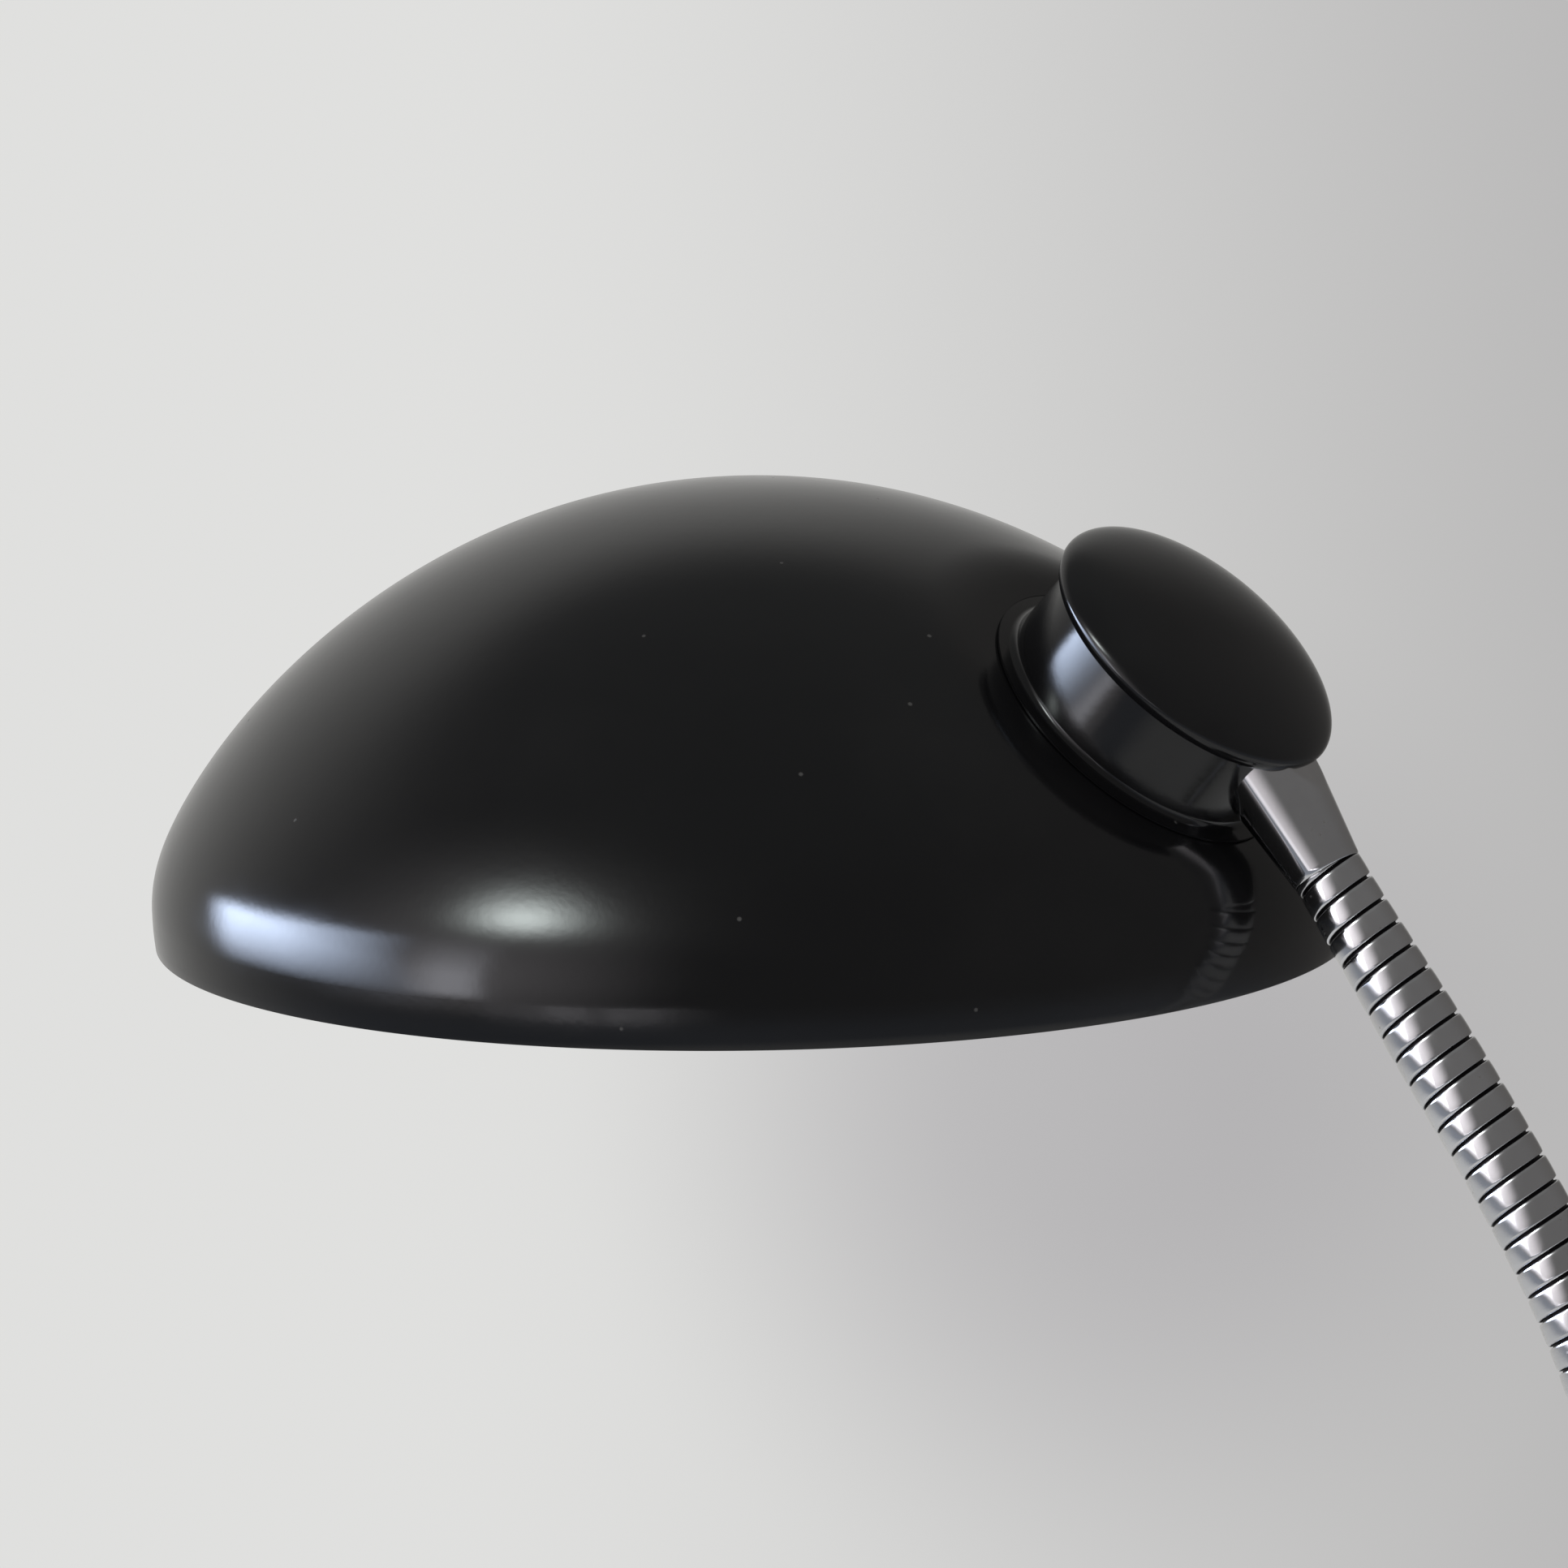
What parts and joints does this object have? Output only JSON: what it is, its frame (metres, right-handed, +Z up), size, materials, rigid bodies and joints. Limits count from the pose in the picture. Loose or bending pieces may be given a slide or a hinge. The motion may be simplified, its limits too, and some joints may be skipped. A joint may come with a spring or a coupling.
{
  "type": "desk lamp",
  "caption": "Desk lamp with a domed metal shade that swivels on a mushroom shaped joint, a ribbed chrome gooseneck and a round weighted base with a push switch.",
  "frame": {"origin": "middle of the base's underside, on the table", "axes": "+Z up along the straight part of the gooseneck, head reaching towards -X, mains lead inlet towards +X"},
  "size_m": [0.3856, 0.22, 0.4401],
  "materials": {
    "black_enamel": "gloss black stoved enamel, fine orange peel",
    "chrome_hose": "bright chrome plate on strip wound hose",
    "chrome": "polished chrome plate",
    "cast_iron": "raw casting, dark",
    "zinc_steel": "zinc plated steel",
    "brass": "satin brass",
    "nickel_brass": "nickel plated brass",
    "felt": "dark green pressed felt",
    "porcelain": "glazed white ceramic",
    "rubber": "soft matt black",
    "bakelite": "black moulded phenolic",
    "button_plastic": "polished black",
    "fibre": "pressed fibre, brown",
    "opal_glass": "opal white, etched"
  },
  "bodies": {
    "base": {"base_shell": "black_enamel", "base_felt": "felt", "base_plate": "zinc_steel", "base_weight": "cast_iron", "base_plate_screws": "zinc_steel", "base_washer": "zinc_steel", "base_nut": "zinc_steel", "base_nipple": "brass", "base_ferrule": "chrome", "terminal_block": "porcelain", "cable_bush": "rubber", "switch_body": "bakelite", "switch_ring": "chrome", "gooseneck_link_01": "chrome_hose"},
    "button": {"switch_button": "button_plastic"},
    "arm_02": {"gooseneck_link_02": "chrome_hose"},
    "arm_03": {"gooseneck_link_03": "chrome_hose"},
    "arm_04": {"gooseneck_link_04": "chrome_hose"},
    "arm_05": {"gooseneck_link_05": "chrome_hose"},
    "arm_06": {"gooseneck_link_06": "chrome_hose"},
    "arm_07": {"gooseneck_link_07": "chrome_hose"},
    "arm_08": {"gooseneck_link_08": "chrome_hose"},
    "arm_09": {"gooseneck_link_09": "chrome_hose"},
    "arm_10": {"gooseneck_link_10": "chrome_hose"},
    "arm_11": {"gooseneck_link_11": "chrome_hose"},
    "arm_12": {"gooseneck_link_12": "chrome_hose"},
    "arm_13": {"gooseneck_link_13": "chrome_hose"},
    "arm_14": {"gooseneck_link_14": "chrome_hose"},
    "arm_15": {"gooseneck_link_15": "chrome_hose"},
    "arm_16": {"gooseneck_link_16": "chrome_hose"},
    "arm_17": {"gooseneck_link_17": "chrome_hose"},
    "head": {"gooseneck_link_18": "chrome_hose", "head_ferrule": "chrome", "head_nut": "zinc_steel", "head_nipple": "brass", "housing_cap": "black_enamel", "housing_neck": "black_enamel", "lampholder_body": "bakelite", "lampholder_hood": "bakelite", "lampholder_insert": "porcelain", "lampholder_thread": "brass", "lampholder_contact": "brass", "bulb_cap": "nickel_brass", "bulb_glass": "opal_glass", "bulb_filament": "brass", "shade_washer": "fibre", "shade_ring": "bakelite"},
    "shade": {"shade": "black_enamel"}
  },
  "joints": [
    {"name": "neck_lower_bend", "type": "hinge", "parent": "base", "child": "arm_02", "pos_m": [0, 0, 0.076], "axis": [0, -1, 0], "range_deg": [-9, 9]},
    {"name": "gooseneck_joint_02", "type": "hinge", "parent": "arm_02", "child": "arm_03", "pos_m": [0, 0, 0.0948], "axis": [0, -1, 0], "range_deg": [-9.1, 9.1]},
    {"name": "neck_sway", "type": "hinge", "parent": "arm_03", "child": "arm_04", "pos_m": [0, 0, 0.1136], "axis": [-1, 0, 0], "range_deg": [-9, 9]},
    {"name": "gooseneck_joint_04", "type": "hinge", "parent": "arm_04", "child": "arm_05", "pos_m": [0, 0, 0.1324], "axis": [0, -1, 0], "range_deg": [-9.1, 9.1]},
    {"name": "gooseneck_joint_05", "type": "hinge", "parent": "arm_05", "child": "arm_06", "pos_m": [0, 0, 0.1512], "axis": [0, -1, 0], "range_deg": [-9.1, 9.1]},
    {"name": "gooseneck_joint_06", "type": "hinge", "parent": "arm_06", "child": "arm_07", "pos_m": [0, 0, 0.17], "axis": [-1, 0, 0], "range_deg": [-9.1, 9.1]},
    {"name": "neck_middle_bend", "type": "hinge", "parent": "arm_07", "child": "arm_08", "pos_m": [0, 0, 0.1888], "axis": [0, -1, 0], "range_deg": [-9, 9]},
    {"name": "gooseneck_joint_08", "type": "hinge", "parent": "arm_08", "child": "arm_09", "pos_m": [0, 0, 0.2076], "axis": [0, -1, 0], "range_deg": [-9.1, 9.1]},
    {"name": "gooseneck_joint_09", "type": "hinge", "parent": "arm_09", "child": "arm_10", "pos_m": [0, 0, 0.2264], "axis": [-1, 0, 0], "range_deg": [-9.1, 9.1]},
    {"name": "gooseneck_joint_10", "type": "hinge", "parent": "arm_10", "child": "arm_11", "pos_m": [0, 0, 0.2452], "axis": [0, -1, 0], "range_deg": [-6.85, 6.85]},
    {"name": "gooseneck_joint_11", "type": "hinge", "parent": "arm_11", "child": "arm_12", "pos_m": [-0.00151, 0, 0.26394], "axis": [0, -1, 0], "range_deg": [-4.6, 4.6]},
    {"name": "gooseneck_joint_12", "type": "hinge", "parent": "arm_12", "child": "arm_13", "pos_m": [-0.00522, 0, 0.28237], "axis": [-0.9631, 0, -0.2693], "range_deg": [-7.3, 7.3]},
    {"name": "gooseneck_joint_13", "type": "hinge", "parent": "arm_13", "child": "arm_14", "pos_m": [-0.01161, 0, 0.30005], "axis": [0, -1, 0], "range_deg": [-3.25, 3.25]},
    {"name": "gooseneck_joint_14", "type": "hinge", "parent": "arm_14", "child": "arm_15", "pos_m": [-0.02045, 0, 0.31664], "axis": [0, -1, 0], "range_deg": [-3.25, 3.25]},
    {"name": "gooseneck_joint_15", "type": "hinge", "parent": "arm_15", "child": "arm_16", "pos_m": [-0.03069, 0, 0.33241], "axis": [-0.8265, 0, -0.5629], "range_deg": [-7.3, 7.3]},
    {"name": "neck_upper_bend", "type": "hinge", "parent": "arm_16", "child": "arm_17", "pos_m": [-0.04161, 0, 0.34771], "axis": [0, -1, 0], "range_deg": [-9, 9]},
    {"name": "gooseneck_joint_17", "type": "hinge", "parent": "arm_17", "child": "head", "pos_m": [-0.05253, 0, 0.36302], "axis": [0, -1, 0], "range_deg": [-9.1, 9.1]},
    {"name": "shade_swivel", "type": "hinge", "parent": "head", "child": "shade", "pos_m": [-0.10152, 0, 0.40228], "axis": [0.6691, 0, 0.7431], "range_deg": [-150, 150]},
    {"name": "switch_press", "type": "slide", "parent": "base", "child": "button", "axis": [0.2294, 0, -0.9733], "range_m": [0, 0.0025], "stiffness_N_per_m": 400, "springref_m": -0.002}
  ],
  "couplings": [
    {"joint": "gooseneck_joint_02", "follows": "neck_lower_bend", "ratio": 1},
    {"joint": "gooseneck_joint_04", "follows": "neck_lower_bend", "ratio": 1},
    {"joint": "gooseneck_joint_05", "follows": "neck_lower_bend", "ratio": 1},
    {"joint": "gooseneck_joint_06", "follows": "neck_sway", "ratio": 1},
    {"joint": "gooseneck_joint_08", "follows": "neck_middle_bend", "ratio": 1},
    {"joint": "gooseneck_joint_09", "follows": "neck_sway", "ratio": 1},
    {"joint": "gooseneck_joint_10", "follows": "neck_middle_bend", "ratio": 0.75},
    {"joint": "gooseneck_joint_11", "follows": "neck_middle_bend", "ratio": 0.5},
    {"joint": "gooseneck_joint_12", "follows": "neck_sway", "ratio": 0.8},
    {"joint": "gooseneck_joint_13", "follows": "neck_upper_bend", "ratio": 0.35},
    {"joint": "gooseneck_joint_14", "follows": "neck_upper_bend", "ratio": 0.35},
    {"joint": "gooseneck_joint_15", "follows": "neck_sway", "ratio": 0.8},
    {"joint": "gooseneck_joint_17", "follows": "neck_upper_bend", "ratio": 1}
  ]
}
